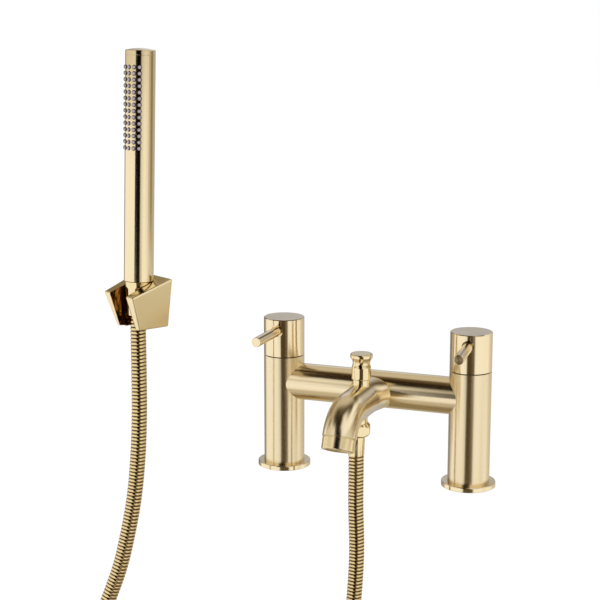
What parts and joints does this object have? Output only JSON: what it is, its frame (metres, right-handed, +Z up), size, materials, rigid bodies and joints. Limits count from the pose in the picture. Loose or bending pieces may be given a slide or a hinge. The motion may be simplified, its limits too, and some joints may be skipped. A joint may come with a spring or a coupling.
{
  "type": "bath shower mixer",
  "caption": "Deck bath shower mixer: lever-handled pillars on a bridge, bent spout with pull-up diverter, ribbed hose, and a slim hand shower in its wall bracket.",
  "frame": {"origin": "midway between the two inlets, on the deck plane", "axes": "+Z up, spout towards -Y, hand shower on the -X side"},
  "size_m": [0.3644, 0.1719, 0.8556],
  "materials": {
    "brushed_brass": "satin, finely brushed round the cylinders",
    "polished_brass": "polished and lacquered",
    "raw_brass": "machined",
    "black_rubber": "matt nitrile rubber",
    "white_ceramic": "lapped alumina",
    "spring_steel": "drawn stainless steel",
    "white_plastic": "moulded acetal",
    "grey_silicone": "moulded silicone"
  },
  "bodies": {
    "body": {"left_pillar": "brushed_brass", "right_pillar": "brushed_brass", "bridge": "brushed_brass", "spout": "brushed_brass", "left_flange": "brushed_brass", "right_flange": "brushed_brass", "aerator_ring": "polished_brass", "diverter_neck": "polished_brass", "outlet_spigot": "polished_brass", "hose_nut": "polished_brass", "outlet_ferrule": "polished_brass", "hose": "polished_brass", "wall_bracket": "polished_brass", "left_cartridge": "raw_brass", "right_cartridge": "raw_brass", "left_foot_seal": "black_rubber", "right_foot_seal": "black_rubber", "left_seat_washer": "black_rubber", "right_seat_washer": "black_rubber", "left_spindle_seal": "black_rubber", "right_spindle_seal": "black_rubber", "aerator_seal": "black_rubber", "outlet_washer": "black_rubber", "left_fixed_disc": "white_ceramic", "right_fixed_disc": "white_ceramic", "diverter_spring": "spring_steel", "aerator_insert": "white_plastic", "diverter_seat": "white_plastic", "check_valve": "white_plastic"},
    "left_tap": {"left_handle": "brushed_brass", "left_lever": "brushed_brass", "left_grub_screw": "spring_steel", "left_spindle": "raw_brass", "left_moving_disc": "white_ceramic"},
    "right_tap": {"right_handle": "brushed_brass", "right_lever": "brushed_brass", "right_grub_screw": "spring_steel", "right_spindle": "raw_brass", "right_moving_disc": "white_ceramic"},
    "diverter": {"diverter_knob": "polished_brass", "diverter_stem": "raw_brass", "diverter_plunger": "raw_brass", "diverter_seal": "black_rubber"},
    "hose_end": {"handset_ferrule": "polished_brass"},
    "hand_shower": {"conical_nut": "polished_brass", "handset_washer": "black_rubber", "handset_inlet": "raw_brass", "handset_tube": "brushed_brass", "handset_cap": "brushed_brass", "handset_waterway": "white_plastic", "spray_nozzles": "grey_silicone"}
  },
  "joints": [
    {"name": "left_tap_turn", "type": "hinge", "parent": "body", "child": "left_tap", "pos_m": [-0.09, 0, 0.12], "axis": [0, 0, 1], "range_deg": [-90, 0]},
    {"name": "right_tap_turn", "type": "hinge", "parent": "body", "child": "right_tap", "pos_m": [0.09, 0, 0.12], "axis": [0, 0, 1], "range_deg": [-5.5, 84.5]},
    {"name": "diverter_pull", "type": "slide", "parent": "body", "child": "diverter", "axis": [0, 0, 1], "range_m": [0, 0.008], "stiffness_N_per_m": 150, "springref_m": -0.01, "deforming": ["diverter_spring"]},
    {"name": "hand_shower_lift", "type": "slide", "parent": "body", "child": "hose_end", "axis": [0.0167, 0.0306, 0.9994], "range_m": [0, 0.045]},
    {"name": "hand_shower_swivel", "type": "hinge", "parent": "hose_end", "child": "hand_shower", "pos_m": [-0.1805, -0.118, 0.1923], "axis": [0.0167, 0.0306, 0.9994], "continuous": true}
  ]
}
